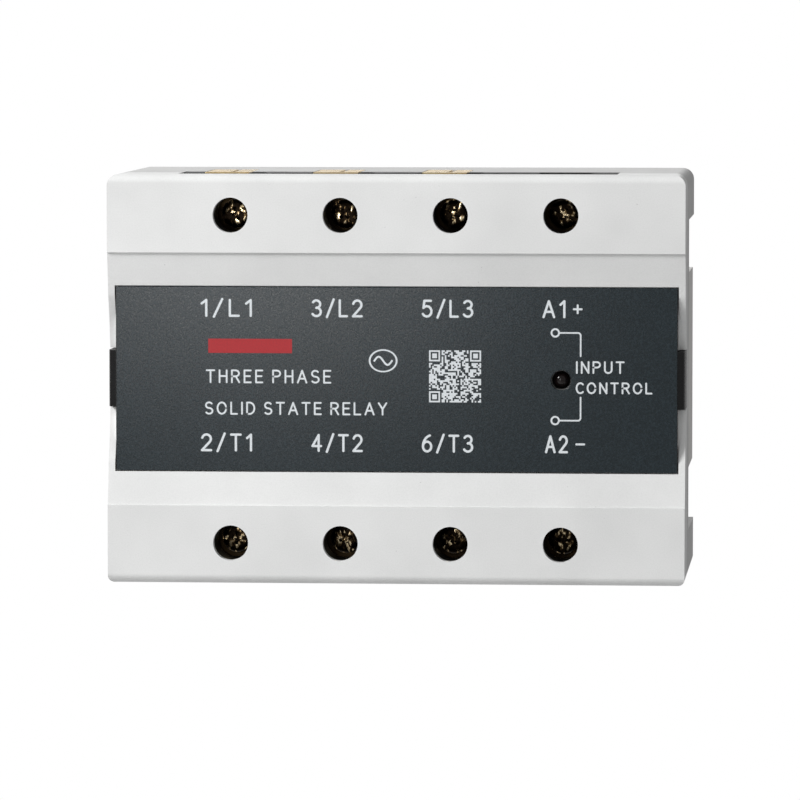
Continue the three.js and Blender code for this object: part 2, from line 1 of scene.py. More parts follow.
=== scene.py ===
# %% [markdown]
# # A solid state relay for a mounting rail
# The relay is a pale moulded case as wide as six rail modules, with a dark recessed
# plate across its front, screw terminals along both long edges and a finned heat sink
# behind. Its solids come packed as a frame of exact size. This lesson gives each of
# them its final shape and finish, and adds what the frame leaves plain: the moulded
# edges, the threads, the lamp, the spring and the printed marks.

# %% Load the frame
import json
import math
import random

import bmesh
import bpy
from mathutils import Matrix, Vector


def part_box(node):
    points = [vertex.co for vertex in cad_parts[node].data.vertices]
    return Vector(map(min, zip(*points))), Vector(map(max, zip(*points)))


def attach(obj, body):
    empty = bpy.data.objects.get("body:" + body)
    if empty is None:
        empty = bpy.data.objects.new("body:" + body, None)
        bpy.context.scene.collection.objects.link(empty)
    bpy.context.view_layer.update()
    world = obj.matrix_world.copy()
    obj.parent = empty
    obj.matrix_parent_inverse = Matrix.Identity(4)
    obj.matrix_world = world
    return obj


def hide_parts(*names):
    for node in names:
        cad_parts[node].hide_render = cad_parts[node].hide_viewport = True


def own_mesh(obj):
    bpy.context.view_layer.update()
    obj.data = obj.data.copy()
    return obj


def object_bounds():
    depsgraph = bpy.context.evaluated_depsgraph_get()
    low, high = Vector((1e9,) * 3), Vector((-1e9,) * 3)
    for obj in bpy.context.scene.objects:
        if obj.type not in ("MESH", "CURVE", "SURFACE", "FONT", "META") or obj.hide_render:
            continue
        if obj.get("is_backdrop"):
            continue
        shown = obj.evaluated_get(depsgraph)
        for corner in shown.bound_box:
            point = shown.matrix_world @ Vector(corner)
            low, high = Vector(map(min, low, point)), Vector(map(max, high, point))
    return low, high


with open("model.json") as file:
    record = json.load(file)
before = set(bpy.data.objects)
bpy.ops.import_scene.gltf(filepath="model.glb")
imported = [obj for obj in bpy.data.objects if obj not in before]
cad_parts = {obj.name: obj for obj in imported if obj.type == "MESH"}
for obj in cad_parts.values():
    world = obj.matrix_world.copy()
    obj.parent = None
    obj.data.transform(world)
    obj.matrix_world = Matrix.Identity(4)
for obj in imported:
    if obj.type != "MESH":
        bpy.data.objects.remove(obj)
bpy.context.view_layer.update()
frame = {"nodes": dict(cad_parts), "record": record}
MM = 0.001

# %% [markdown]
# ## Where things are
# Every place in this script is read from the frame, so a piece can never drift from
# the solid it stands for. The front faces -Y, +X is right and +Z is up.

# %% Places read from the frame
record = frame["record"]
BODY_OF = {node: body for body, nodes in record["behaviour"]["bodies"].items() for node in nodes}
SLOT_OF = {row["node"]: row["material_slot"] for row in record["subparts"]}
COVER_LOW, COVER_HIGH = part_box("front_cover")
PLATE_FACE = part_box("front_plate")[0].y
TERMINALS = [node.removeprefix("screw_") for node in sorted(frame["nodes"]) if node.startswith("screw_")]


def middle(node):
    low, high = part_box(node)
    return (low + high) / 2


print("terminals:", TERMINALS)

# %% [markdown]
# ## The camera
# A long lens a little above and to the right of the front keeps the long edges almost
# parallel and still shows the near ends of the deep feet. It is made early, because
# every finish is judged through it.

# %% Camera
VIEW_DISTANCE = 1.1
VIEW_TURN = math.radians(4.55)
VIEW_RISE = math.radians(3.55)
FOCAL_LENGTH = 273.3
FAR_ENOUGH = 50
camera_data = bpy.data.cameras.new("camera")
camera_data.lens = FOCAL_LENGTH
camera_data.clip_end = FAR_ENOUGH
camera = bpy.data.objects.new("camera", camera_data)
bpy.context.scene.collection.objects.link(camera)
face_centre = Vector((0, COVER_LOW.y, 0))
back = Vector(
    (
        math.sin(VIEW_TURN) * math.cos(VIEW_RISE),
        -math.cos(VIEW_TURN) * math.cos(VIEW_RISE),
        math.sin(VIEW_RISE),
    )
)
camera.location = face_centre + back * VIEW_DISTANCE
aim = face_centre + Vector((0.9 * MM, 0, -3.6 * MM))
camera.rotation_euler = (aim - camera.location).to_track_quat("-Z", "Y").to_euler()
bpy.context.scene.camera = camera
bpy.context.scene.view_settings.view_transform = "Standard"
print("camera at", [round(v, 3) for v in camera.location])

# %% [markdown]
# ## Finishes
# A finish on a made thing is never one flat colour. Each one here starts from the
# same small kit: a noise of a chosen size in millimetres, a ramp that turns it into
# two close tones, a spread that turns it into roughness, and a bump. The noises read
# Object coordinates, so a pattern has its real size on every piece.

class Finish:
    """A node material whose patterns have sizes in millimetres."""

    def __init__(self, name):
        self.material = bpy.data.materials.new(name)
        self.material.use_nodes = True
        self.tree = self.material.node_tree
        self.shader = self.tree.nodes["Principled BSDF"]
        self.place = self.tree.nodes.new("ShaderNodeTexCoord").outputs["Object"]
        self.height = None

    def noise(self, size, detail=3.0, stretch=(1, 1, 1), turn=(0, 0, 0)):
        mapping = self.tree.nodes.new("ShaderNodeMapping")
        mapping.inputs["Scale"].default_value = [1 / (size * MM * s) for s in stretch]
        mapping.inputs["Rotation"].default_value = turn
        self.tree.links.new(self.place, mapping.inputs["Vector"])
        texture = self.tree.nodes.new("ShaderNodeTexNoise")
        texture.inputs["Scale"].default_value = 1
        texture.inputs["Detail"].default_value = detail
        self.tree.links.new(mapping.outputs["Vector"], texture.inputs["Vector"])
        return texture.outputs["Fac"]

    def ramp(self, value, stops):
        ramp = self.tree.nodes.new("ShaderNodeValToRGB")
        elements = ramp.color_ramp.elements
        while len(elements) < len(stops):
            elements.new(0.5)
        for element, (position, colour) in zip(elements, stops):
            element.position = position
            element.color = (*colour, 1)
        self.tree.links.new(value, ramp.inputs["Fac"])
        return ramp.outputs["Color"]

    def spread(self, value, low, high, start=0.3, end=0.7):
        spread = self.tree.nodes.new("ShaderNodeMapRange")
        limits = {"From Min": start, "From Max": end, "To Min": low, "To Max": high}
        for socket, number in limits.items():
            spread.inputs[socket].default_value = number
        self.tree.links.new(value, spread.inputs["Value"])
        return spread.outputs["Result"]

    def mix(self, amount, first, second, blend="MIX"):
        mix = self.tree.nodes.new("ShaderNodeMix")
        mix.data_type = "RGBA"
        mix.blend_type = blend
        if isinstance(amount, float):
            mix.inputs["Factor"].default_value = amount
        else:
            self.tree.links.new(amount, mix.inputs["Factor"])
        for socket, source in zip((mix.inputs[6], mix.inputs[7]), (first, second)):
            if isinstance(source, tuple):
                socket.default_value = (*source, 1)
            else:
                self.tree.links.new(source, socket)
        return mix.outputs[2]

    def beyond(self, axis, distance):
        """1 where a point is further than that from the middle plane, otherwise 0."""
        split = self.tree.nodes.new("ShaderNodeSeparateXYZ")
        self.tree.links.new(self.place, split.inputs["Vector"])
        value = split.outputs[axis]
        for operation in ("ABSOLUTE", "GREATER_THAN"):
            step = self.tree.nodes.new("ShaderNodeMath")
            step.operation = operation
            step.inputs[1].default_value = distance
            self.tree.links.new(value, step.inputs[0])
            value = step.outputs["Value"]
        return value

    def bump(self, value, height, strength=1.0):
        """Adds a relief of that height in millimetres to the ones before it."""
        bump = self.tree.nodes.new("ShaderNodeBump")
        bump.inputs["Strength"].default_value = strength
        bump.inputs["Distance"].default_value = height * MM
        self.tree.links.new(value, bump.inputs["Height"])
        if self.height is not None:
            self.tree.links.new(self.height, bump.inputs["Normal"])
        self.height = bump.outputs["Normal"]
        self.tree.links.new(self.height, self.shader.inputs["Normal"])

    def drive(self, socket, source):
        self.tree.links.new(source, self.shader.inputs[socket])

    def set(self, **numbers):
        """Sets plain numbers on the shader, as in set(coat_weight=0.3)."""
        for name, number in numbers.items():
            socket = name.replace("_", " ").title().replace("Ior", "IOR")
            self.shader.inputs[socket].default_value = number


def shade(colour, amount):
    return tuple(min(1.0, c * amount) for c in colour)


print("finish kit ready")

# %% [markdown]
# ## Moulded plastics
# The case was moulded in a lightly spark-eroded tool. That leaves a grain of about a
# fifth of a millimetre, slow changes of tone where the plastic flowed, and a few
# specks and rubbed places from handling. The same recipe in other tones serves the
# rear housing, the terminal blocks and the chip packages. The plate has a film of its
# own over its face, and its printed marks are ink on that film.

# %% Plastic
def plastic(name, colour, roughness, grain=0.25, specks=0.0):
    finish = Finish(name)
    tone, relief = 0.04, 0.006
    slow = finish.noise(14, 2)
    fine = finish.noise(grain, 4)
    tones = finish.ramp(slow, [(0.3, shade(colour, 1 - tone)), (0.7, shade(colour, 1 + tone))])
    grains = finish.ramp(fine, [(0.25, (0.93, 0.93, 0.93)), (0.6, (1, 1, 1))])
    tones = finish.mix(0.8, tones, grains, "MULTIPLY")
    if specks:
        dust = finish.spread(finish.noise(0.7, 1), 0, specks, 0.79, 0.83)
        tones = finish.mix(dust, tones, shade(colour, 0.35))
    finish.drive("Base Color", tones)
    rubbed = finish.noise(5, 4, (1, 1, 2.5))
    finish.drive("Roughness", finish.spread(rubbed, roughness - 0.05, roughness + 0.07))
    finish.bump(fine, relief)
    finish.bump(finish.noise(9, 2), 0.02, 0.5)
    return finish.material


FILM_HALF_WIDTH = 51 * MM


def dark_plate_finish():
    """Slate grey film with a pebbled grain. The side arms past it are painted near black as shade."""
    finish = Finish("slate_film")
    # Painted shade: past the film's edge both side arms are painted near black, the tone of the right arm
    # in its shade.
    shaded_arm_mask = finish.beyond("X", FILM_HALF_WIDTH)
    black = (0.003, 0.003, 0.0035)
    pebbles = finish.noise(0.4, 3)
    clouds = finish.noise(22, 3)
    slate = (0.009, 0.0175, 0.0225)
    hollow, crest = shade(slate, 0.66), shade(slate, 1.5)
    tones = finish.ramp(pebbles, [(0.25, hollow), (0.5, slate), (0.75, crest)])
    clouding = finish.ramp(clouds, [(0.3, (0.86, 0.86, 0.86)), (0.7, (1, 1, 1))])
    film = finish.mix(1.0, tones, clouding, "MULTIPLY")
    finish.drive("Base Color", finish.mix(shaded_arm_mask, film, black))
    finish.drive("Roughness", finish.spread(pebbles, 0.24, 0.3))
    finish.bump(pebbles, 0.009)
    return finish.material


def ink(name, colour):
    """Screen-printed ink: slightly uneven cover over the grain of the plate."""
    finish = Finish(name)
    cover = finish.noise(0.3, 4)
    finish.drive("Base Color", finish.ramp(cover, [(0.25, shade(colour, 0.82)), (0.6, colour)]))
    finish.drive("Roughness", finish.spread(cover, 0.45, 0.6))
    finish.bump(cover, 0.006)
    return finish.material


WHITE_CASE = plastic("white_case", (0.78, 0.785, 0.78), 0.46, specks=0.4)
GREY_CASE = plastic("grey_case", (0.60, 0.60, 0.595), 0.5, specks=0.3)
print("case finishes:", WHITE_CASE.name, "and", GREY_CASE.name)

# %% [markdown]
# ## Metals
# A metal's look is mostly its roughness. Stamped brass has fine drawn lines, extruded
# aluminium has long streaks, and plated steel is nearly smooth. All are one recipe: a
# stretched noise for the lines and a slow one for the tarnish, which on the washers is
# painted shade in two dark tones. The terminal screws are the exception. Their colour
# is painted shade, nearly black as if deep in their holes, with small painted glints,
# and one noise with a steep ramp sets that colour, their roughness and relief together.

# %% Metal
def metal(name, colour, tarnish_and_shade, roughness, line=0.12, stretch=(1, 1, 30), relief=0.003, blotch=3.0):
    finish = Finish(name)
    slow = finish.noise(blotch, 4)
    lines = finish.noise(line, 3, stretch)
    # The second tone is tarnish. On the washers, both tones are painted shade.
    aged_and_shaded = finish.ramp(slow, [(0.35, colour), (0.72, tarnish_and_shade)])
    drawn = finish.ramp(lines, [(0.3, (0.84, 0.84, 0.84)), (0.65, (1, 1, 1))])
    finish.drive("Base Color", finish.mix(0.9, aged_and_shaded, drawn, "MULTIPLY"))
    finish.set(metallic=1.0)
    finish.drive("Roughness", finish.spread(slow, roughness - 0.08, roughness + 0.14))
    finish.bump(lines, relief)
    finish.bump(slow, 0.01, 0.4)
    return finish.material


def brass_with_painted_glints():
    """Brass painted nearly black as the shade in its hole, with small painted glints."""
    finish = Finish("turned_brass")
    glint_noise = finish.noise(0.8, 2, (1, 1, 1.8), (0, 0.6, 0))
    # Painted light: the near-black stop is painted hole shade, and the bright stop is painted glints.
    painted_hole_shade, glint_fringe, bright = (0.012, 0.008, 0.005), (0.20, 0.13, 0.06), (0.95, 0.78, 0.50)
    finish.drive("Base Color", finish.ramp(glint_noise, [(0.53, painted_hole_shade), (0.58, glint_fringe), (0.63, bright)]))
    finish.set(metallic=1.0)
    finish.drive("Roughness", finish.spread(glint_noise, 0.34, 0.16, 0.5, 0.65))
    finish.bump(glint_noise, 0.05)
    return finish.material


def lens_finish():
    """The lamp's tinted lens, nearly black while it is off."""
    finish = Finish("lamp_lens")
    haze = finish.noise(0.6, 3)
    dark, clear = (0.006, 0.004, 0.004), (0.012, 0.007, 0.007)
    finish.drive("Base Color", finish.ramp(haze, [(0.3, dark), (0.7, clear)]))
    finish.drive("Roughness", finish.spread(haze, 0.08, 0.16))
    finish.set(specular_ior_level=0.25, coat_weight=0.25, coat_roughness=0.05)
    return finish.material


BRASS, OLD_BRASS = (0.93, 0.74, 0.42), (0.78, 0.56, 0.27)
# Painted shade: the washers' brass is painted nearly black in two tones, for the shade deep in the driver
# holes.
SHADED_WASHER, DARKER_SHADED_WASHER = (0.06, 0.04, 0.02), (0.015, 0.010, 0.007)
ALUMINIUM, OLD_ALUMINIUM = (0.84, 0.83, 0.81), (0.78, 0.77, 0.75)
COPPER, OLD_COPPER = (0.80, 0.42, 0.28), (0.50, 0.24, 0.15)
ZINC, OLD_ZINC = (0.60, 0.60, 0.60), (0.44, 0.44, 0.42)
WIRE_STEEL, OLD_WIRE = (0.55, 0.55, 0.56), (0.38, 0.38, 0.38)
EVEN = (1, 1, 1)  # a grain with no direction

FINISHES = {
    "case_white": WHITE_CASE,
    "case_grey": GREY_CASE,
    "front_plate": dark_plate_finish(),
    "terminal_block": plastic("black_insulator", (0.012, 0.012, 0.012), 0.5),
    "terminal_brass": metal("stamped_brass", BRASS, OLD_BRASS, 0.26, stretch=(1, 1, 20)),
    "clamp_washer": metal("washer_brass", SHADED_WASHER, DARKER_SHADED_WASHER, 0.34, stretch=(20, 1, 1)),
    "terminal_screw": brass_with_painted_glints(),
    "heat_sink": metal("extruded_aluminium", ALUMINIUM, OLD_ALUMINIUM, 0.46, 0.2, (1, 1, 60), 0.005, 9.0),
    "thermal_pad": plastic("thermal_sheet", (0.42, 0.43, 0.42), 0.8),
    "triac_package": plastic("device_epoxy", (0.016, 0.016, 0.017), 0.55),
    "steel_screw": metal("zinc_plate", ZINC, OLD_ZINC, 0.3, 0.15, EVEN),
    "chip_package": plastic("chip_epoxy", (0.018, 0.018, 0.019), 0.5),
    "capacitor_case": plastic("potted_case", (0.62, 0.42, 0.06), 0.35),
    "resistor_body": plastic("resistor_lacquer", (0.12, 0.30, 0.48), 0.35),
    "circuit_board": plastic("solder_resist", (0.02, 0.14, 0.06), 0.3, grain=0.5),
    "led_lens": lens_finish(),
    "busbar_copper": metal("strap_copper", COPPER, OLD_COPPER, 0.3, stretch=(1, 1, 20)),
    "rail_clip": plastic("clip_black", (0.014, 0.014, 0.015), 0.48),
    "spring_steel": metal("drawn_wire", WIRE_STEEL, OLD_WIRE, 0.3, 0.1, EVEN),
    "case_screw": metal("zinc_case_screw", ZINC, OLD_ZINC, 0.32, 0.15, EVEN),
}
print(len(FINISHES), "finishes")

# %% [markdown]
# ## From a mesh to a piece
# Whatever way a mesh is made, it ends up the same: an object at the origin, smooth
# where it is round and crisp where it is not, riding on its body. The weighted
# normals keep broad flat faces flat beside their rounded edges.

# %% Make a piece
SMOOTH_UNDER = 38  # degrees between two faces


def make_piece(name, bm, body, slot, stands_for=(), finish=None):
    mesh = bpy.data.meshes.new(name)
    bm.to_mesh(mesh)
    bm.free()
    for face in mesh.polygons:
        face.use_smooth = True
    mesh.set_sharp_from_angle(angle=math.radians(SMOOTH_UNDER))
    mesh.materials.append(finish or FINISHES[slot])
    piece = bpy.data.objects.new(name, mesh)
    bpy.context.scene.collection.objects.link(piece)
    piece.modifiers.new("flat faces stay flat", "WEIGHTED_NORMAL").keep_sharp = True
    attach(piece, body)
    if stands_for:
        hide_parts(*stands_for)
    return piece


print("faces that meet at under", SMOOTH_UNDER, "degrees are shaded smooth")

# %% [markdown]
# ## Moulded and stamped pieces with their edges broken
# No real edge is perfectly sharp, and it is the thin highlight along an edge that
# makes a moulding look moulded. The frame's solids have the right shape but razor
# edges. A copy of each is merged, its flat triangles are joined into whole faces, and
# every edge that turns sharply is bevelled by a few tenths of a millimetre. The case's
# upright front edges are rounder than the rest, so they are bevelled first.

# %% Break the edges of a copy
END_RADIUS = 0.7
SHARP = math.radians(32)


def round_off(bm, edges, radius, segments):
    bmesh.ops.bevel(
        bm,
        geom=edges,
        offset=radius * MM,
        affect="EDGES",
        segments=segments,
        profile=0.5,
        material=-1,
        clamp_overlap=True,
    )


def end_edges(bm):
    """The straight upright edges where the shoulders' faces meet the ends of the case."""
    close, long = 0.02 * MM, 3 * MM
    found = []
    for edge in bm.edges:
        first, second = (v.co for v in edge.verts)
        at_end = min(abs(first.x), abs(second.x)) > COVER_HIGH.x - close
        in_front = max(first.y, second.y) < COVER_LOW.y + close
        if at_end and in_front and abs(first.z - second.z) > long:
            found.append(edge)
    return found


def soft_edged(node, edge, segments=2):
    bm = bmesh.new()
    bm.from_mesh(frame["nodes"][node].data)
    bmesh.ops.remove_doubles(bm, verts=bm.verts, dist=0.002 * MM)
    bmesh.ops.dissolve_limit(bm, angle_limit=math.radians(0.5), verts=bm.verts, edges=bm.edges)
    if node == "front_cover":
        ends = end_edges(bm)
        print("upright end edges:", len(ends))
        round_off(bm, ends, END_RADIUS, 4)
    turning = [e for e in bm.edges if len(e.link_faces) == 2 and e.calc_face_angle() > SHARP]
    round_off(bm, turning, edge, segments)
    return make_piece(f"{node}_shell", bm, BODY_OF[node], SLOT_OF[node], [node])


EDGES = {
    "front_cover": 0.14,
    "rear_housing": 0.22,
    "front_plate": 0.12,
    "terminal_block_upper": 0.12,
    "terminal_block_lower": 0.12,
    "heat_sink": 0.12,
    "rail_clip": 0.25,
    "circuit_board": 0.1,
}
EDGES.update({f"terminal_{t}": 0.12 for t in TERMINALS})
EDGES.update({f"washer_{t}": 0.14 for t in TERMINALS})
for node, edge in EDGES.items():
    shell = soft_edged(node, edge, 3 if node == "front_cover" else 2)
    print(shell.name, len(shell.data.polygons), "faces")

# %% [markdown]
# ## Terminal screws
# A terminal screw takes either driver: its head has a straight slot and a cross in
# one recess. The head and the threaded shank are one lathe profile spun round the
# axis. The recess is easier to carve than to model, so a cutter made of tapered
# blades is taken away from the head. Each screw stops at an angle of its own.

# %% Terminal screws
THREAD_PITCH = 0.6
THREAD_START = 2.55
CORE, CREST = 1.4, 1.69  # radii of the shank between and on the threads
SLOT_WIDTH, SLOT_DEPTH = 0.75, 0.9
CROSS_SPAN, CROSS_WIDTH, CROSS_DEPTH, CROSS_TAPER = 3.4, 0.85, 1.6, 0.45


def lathe(profile, steps):
    """Spins (radius, height) points in millimetres round +Y into a closed bmesh."""
    bm = bmesh.new()
    points = [bm.verts.new((r * MM, h * MM, 0)) for r, h in profile]
    lines = [bm.edges.new(pair) for pair in zip(points, points[1:])]
    bmesh.ops.spin(
        bm,
        geom=points + lines,
        cent=(0, 0, 0),
        axis=(0, 1, 0),
        angle=2 * math.pi,
        steps=steps,
        use_merge=True,
    )
    bmesh.ops.remove_doubles(bm, verts=bm.verts, dist=0.001 * MM)
    bmesh.ops.recalc_face_normals(bm, faces=bm.faces)
    return bm


def blade(bm, long, wide, deep, turn, taper):
    """One blade of the recess cutter, from above the head down to its depth."""
    made = bmesh.ops.create_cube(bm, size=1)["verts"]
    bmesh.ops.scale(bm, verts=made, vec=(long * MM, 2 * deep * MM, wide * MM))
    for vert in made:
        if vert.co.y > 0:
            vert.co.x *= taper
            vert.co.z *= taper
    bmesh.ops.rotate(bm, verts=made, cent=(0, 0, 0), matrix=Matrix.Rotation(turn, 3, "Y"))


def carve(bm, cutter):
    """Takes the cutter away from bm with an exact boolean and returns the rest."""
    helpers = []
    for source, name in ((bm, "stock"), (cutter, "cutter")):
        mesh = bpy.data.meshes.new(name)
        source.to_mesh(mesh)
        source.free()
        helpers.append(bpy.data.objects.new(name, mesh))
        bpy.context.scene.collection.objects.link(helpers[-1])
    cut = helpers[0].modifiers.new("carve", "BOOLEAN")
    cut.operation = "DIFFERENCE"
    cut.solver = "EXACT"
    cut.use_self = True
    cut.object = helpers[1]
    bpy.context.view_layer.update()
    result = bmesh.new()
    result.from_mesh(helpers[0].evaluated_get(bpy.context.evaluated_depsgraph_get()).to_mesh())
    for helper in helpers:
        bpy.data.objects.remove(helper)
    return result


def screw_mesh(head, length):
    """A screw with its head's top at the origin, pointing along +Y."""
    top = [(0, 0), (head - 0.9, 0), (head - 0.4, 0.1), (head - 0.1, 0.38), (head, 0.75), (head, 2.05)]
    neck = [(head - 0.1, 2.2), (1.5, 2.2), (CORE, 2.4)]
    turns = int((length - 0.5 - THREAD_START) / THREAD_PITCH)
    thread = []
    for turn in range(turns):
        y = THREAD_START + turn * THREAD_PITCH
        thread += [(CREST, y), (CREST, y + 0.1), (CORE, y + 0.3), (CORE, y + 0.38)]
    tip = [(CORE - 0.1, length), (0, length)]
    body = lathe([*top, *neck, *thread, *tip], 48)
    cutter = bmesh.new()
    blade(cutter, 2 * head + 1, SLOT_WIDTH, SLOT_DEPTH, 0, 1.0)
    for quarter in (0, math.pi / 2):
        blade(cutter, CROSS_SPAN, CROSS_WIDTH, CROSS_DEPTH, quarter, CROSS_TAPER)
    return carve(body, cutter)


for number, terminal in enumerate(TERMINALS):
    screw = f"screw_{terminal}"
    low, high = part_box(screw)
    spot = middle(screw)
    bm = screw_mesh((high.x - low.x) / 2 / MM, (high.y - low.y) / MM)
    rest_angle = math.radians(27 + 67 * number)
    bmesh.ops.rotate(bm, verts=bm.verts, cent=(0, 0, 0), matrix=Matrix.Rotation(rest_angle, 3, "Y"))
    bmesh.ops.translate(bm, verts=bm.verts, vec=(spot.x, low.y, spot.z))
    made = make_piece(f"{screw}_turned", bm, BODY_OF[screw], SLOT_OF[screw], [screw])
print("8 screws of", len(made.data.polygons), "faces each")

# %% [markdown]
# ## The status lamp
# A three-millimetre lamp: a short cylinder with a domed end and a flange, in a black
# holder. A dome is the plainest use of the lathe.

# %% Lamp
LENS_RADIUS = 1.5
HOLDER_INNER, HOLDER_OUTER = 1.56, 1.68
FLANGE_RADIUS, FLANGE_FRONT, LAMP_LENGTH = 1.95, 4.7, 5.5
lamp_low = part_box("status_led")[0]
lamp_axis = middle("status_led")


def at_lamp(bm, y):
    bmesh.ops.translate(bm, verts=bm.verts, vec=(lamp_axis.x, y, lamp_axis.z))
    return bm


angles = [math.radians(a) for a in range(0, 91, 9)]
dome = [(LENS_RADIUS * math.sin(a), LENS_RADIUS * (1 - math.cos(a))) for a in angles]
flange = [(FLANGE_RADIUS, FLANGE_FRONT), (FLANGE_RADIUS, LAMP_LENGTH), (0, LAMP_LENGTH)]
lamp = at_lamp(lathe([*dome, (LENS_RADIUS, FLANGE_FRONT), *flange], 48), lamp_low.y)
make_piece("lamp_lens", lamp, BODY_OF["status_led"], "led_lens", ["status_led"])
mouth = (HOLDER_INNER, 0.9)
holder_profile = [mouth, (HOLDER_OUTER, 0.75), (HOLDER_OUTER, 2.7), (HOLDER_INNER, 2.7), mouth]
holder = at_lamp(lathe(holder_profile, 48), lamp_low.y)
make_piece("lamp_holder", holder, BODY_OF["status_led"], "terminal_block")
print("lamp at", [round(v / MM, 1) for v in lamp_axis])

# %% [markdown]
# ## The clip's spring
# A coil spring is a small circle of wire swept round an axis while it climbs. Spin
# does both at once when it is given a step along the axis. The spring is squeezed
# when the clip is pulled down.

# %% Spring
WIRE = 0.25
SPRING_TURNS = 6
STEPS_PER_TURN = 24
spring_low, spring_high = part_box("clip_spring")
spring_axis = middle("clip_spring")
climb = (spring_high.z - spring_low.z) - 2 * WIRE * MM
coil_radius = (spring_high.x - spring_low.x) / 2 - WIRE * MM
bm = bmesh.new()
ring = bmesh.ops.create_circle(bm, segments=10, radius=WIRE * MM, cap_ends=True)["verts"]
bmesh.ops.rotate(bm, verts=ring, cent=(0, 0, 0), matrix=Matrix.Rotation(math.pi / 2, 3, "X"))
start = Vector((spring_axis.x + coil_radius, spring_axis.y, spring_low.z + WIRE * MM))
bmesh.ops.translate(bm, verts=ring, vec=start)
steps = SPRING_TURNS * STEPS_PER_TURN
bmesh.ops.spin(
    bm,
    geom=bm.verts[:] + bm.edges[:] + bm.faces[:],
    cent=spring_axis,
    axis=(0, 0, 1),
    dvec=(0, 0, climb / steps),
    angle=2 * math.pi * SPRING_TURNS,
    steps=steps,
)
bmesh.ops.remove_doubles(bm, verts=bm.verts, dist=0.001 * MM)
bmesh.ops.recalc_face_normals(bm, faces=bm.faces)
spring = make_piece("clip_spring_coil", bm, BODY_OF["clip_spring"], "spring_steel", ["clip_spring"])
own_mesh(spring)
print("spring of", SPRING_TURNS, "turns")

# %% [markdown]
# ## Finishes on the solids that stay as they are
# The electronics are sealed inside, so their solids are kept and only finished.

# %% Finish the inner solids
for node, solid in frame["nodes"].items():
    if solid.hide_render:
        continue
    solid.data.materials.clear()
    solid.data.materials.append(FINISHES[SLOT_OF[node]])
print("inner solids finished")

# %% [markdown]
# ## The printed front
# The marks are ink a few hundredths of a millimetre thick on the dark plate. Printed
# control gear uses plain lettering of one stroke width. The built-in text font has
# thick and thin strokes, so the letters are drawn instead: each is a few straight
# strokes and arcs in a cell one unit high, and every stroke is a flat bar with round
# ends. The terminal marks are the standard ones. The other words are plain
# descriptions of what the relay is.

# %% A plain stroke alphabet
INK = 0.03 * MM
OVERLAP_STEPS = [0.002 * MM * i for i in range(7)]
PRINT = bmesh.new()


def arc(cx, cz, rx, rz, start, end, steps=10):
    """Points on an ellipse between two angles in degrees."""
    angles = [math.radians(start + (end - start) * i / steps) for i in range(steps + 1)]
    return [(cx + rx * math.cos(a), cz + rz * math.sin(a)) for a in angles]


BOWL = [(0, 0), (0, 1), (0.28, 1), *arc(0.28, 0.75, 0.26, 0.25, 80, -80), (0.28, 0.5), (0, 0.5)]
STROKES = {
    "1": [[(0, 0.78), (0.24, 1), (0.24, 0)]],
    "2": [[*arc(0.28, 0.72, 0.27, 0.28, 165, -38), (0, 0), (0.56, 0)]],
    "3": [arc(0.26, 0.76, 0.25, 0.24, 150, -90) + arc(0.26, 0.27, 0.29, 0.27, 85, -150)],
    "4": [[(0.42, 0), (0.42, 1), (0, 0.3), (0.58, 0.3)]],
    "5": [[(0.52, 1), (0.1, 1), (0.04, 0.55), *arc(0.26, 0.33, 0.3, 0.33, 120, -150)]],
    "6": [arc(0.29, 0.31, 0.28, 0.31, 0, 360, 18), arc(0.62, 0.31, 0.61, 0.72, 104, 180)],
    "/": [[(0, -0.06), (0.44, 1.06)]],
    "A": [[(0, 0), (0.33, 1), (0.66, 0)], [(0.11, 0.33), (0.55, 0.33)]],
    "C": [arc(0.33, 0.5, 0.33, 0.5, 48, 312, 18)],
    "D": [[(0, 0), (0, 1), (0.2, 1), *arc(0.2, 0.5, 0.38, 0.5, 80, -80), (0.2, 0), (0, 0)]],
    "E": [[(0.48, 1), (0, 1), (0, 0), (0.48, 0)], [(0, 0.52), (0.42, 0.52)]],
    "H": [[(0, 0), (0, 1)], [(0.54, 0), (0.54, 1)], [(0, 0.52), (0.54, 0.52)]],
    "I": [[(0, 0), (0, 1)]],
    "L": [[(0, 1), (0, 0), (0.46, 0)]],
    "N": [[(0, 0), (0, 1), (0.56, 0), (0.56, 1)]],
    "O": [arc(0.34, 0.5, 0.34, 0.5, 0, 360, 22)],
    "P": [BOWL],
    "R": [BOWL, [(0.3, 0.5), (0.56, 0)]],
    "S": [arc(0.27, 0.75, 0.25, 0.25, 35, 270) + arc(0.27, 0.25, 0.27, 0.25, 90, -145)],
    "T": [[(0, 1), (0.58, 1)], [(0.29, 1), (0.29, 0)]],
    "U": [[(0, 1), (0, 0.3), *arc(0.28, 0.3, 0.28, 0.3, 190, 350), (0.56, 0.3), (0.56, 1)]],
    "Y": [[(0, 1), (0.3, 0.48), (0.6, 1)], [(0.3, 0.48), (0.3, 0)]],
}
LETTER_GAP = 0.4
WORD_GAP = 0.42


def strokes_of(words):
    """All strokes of the words side by side, in units of the capitals' height."""
    pen, lines = 0.0, []
    for letter in words:
        if letter == " ":
            pen += WORD_GAP
            continue
        strokes = STROKES[letter]
        lines += [[(pen + x, z) for x, z in stroke] for stroke in strokes]
        pen += max(x for stroke in strokes for x, _ in stroke) + LETTER_GAP
    return lines, pen - LETTER_GAP


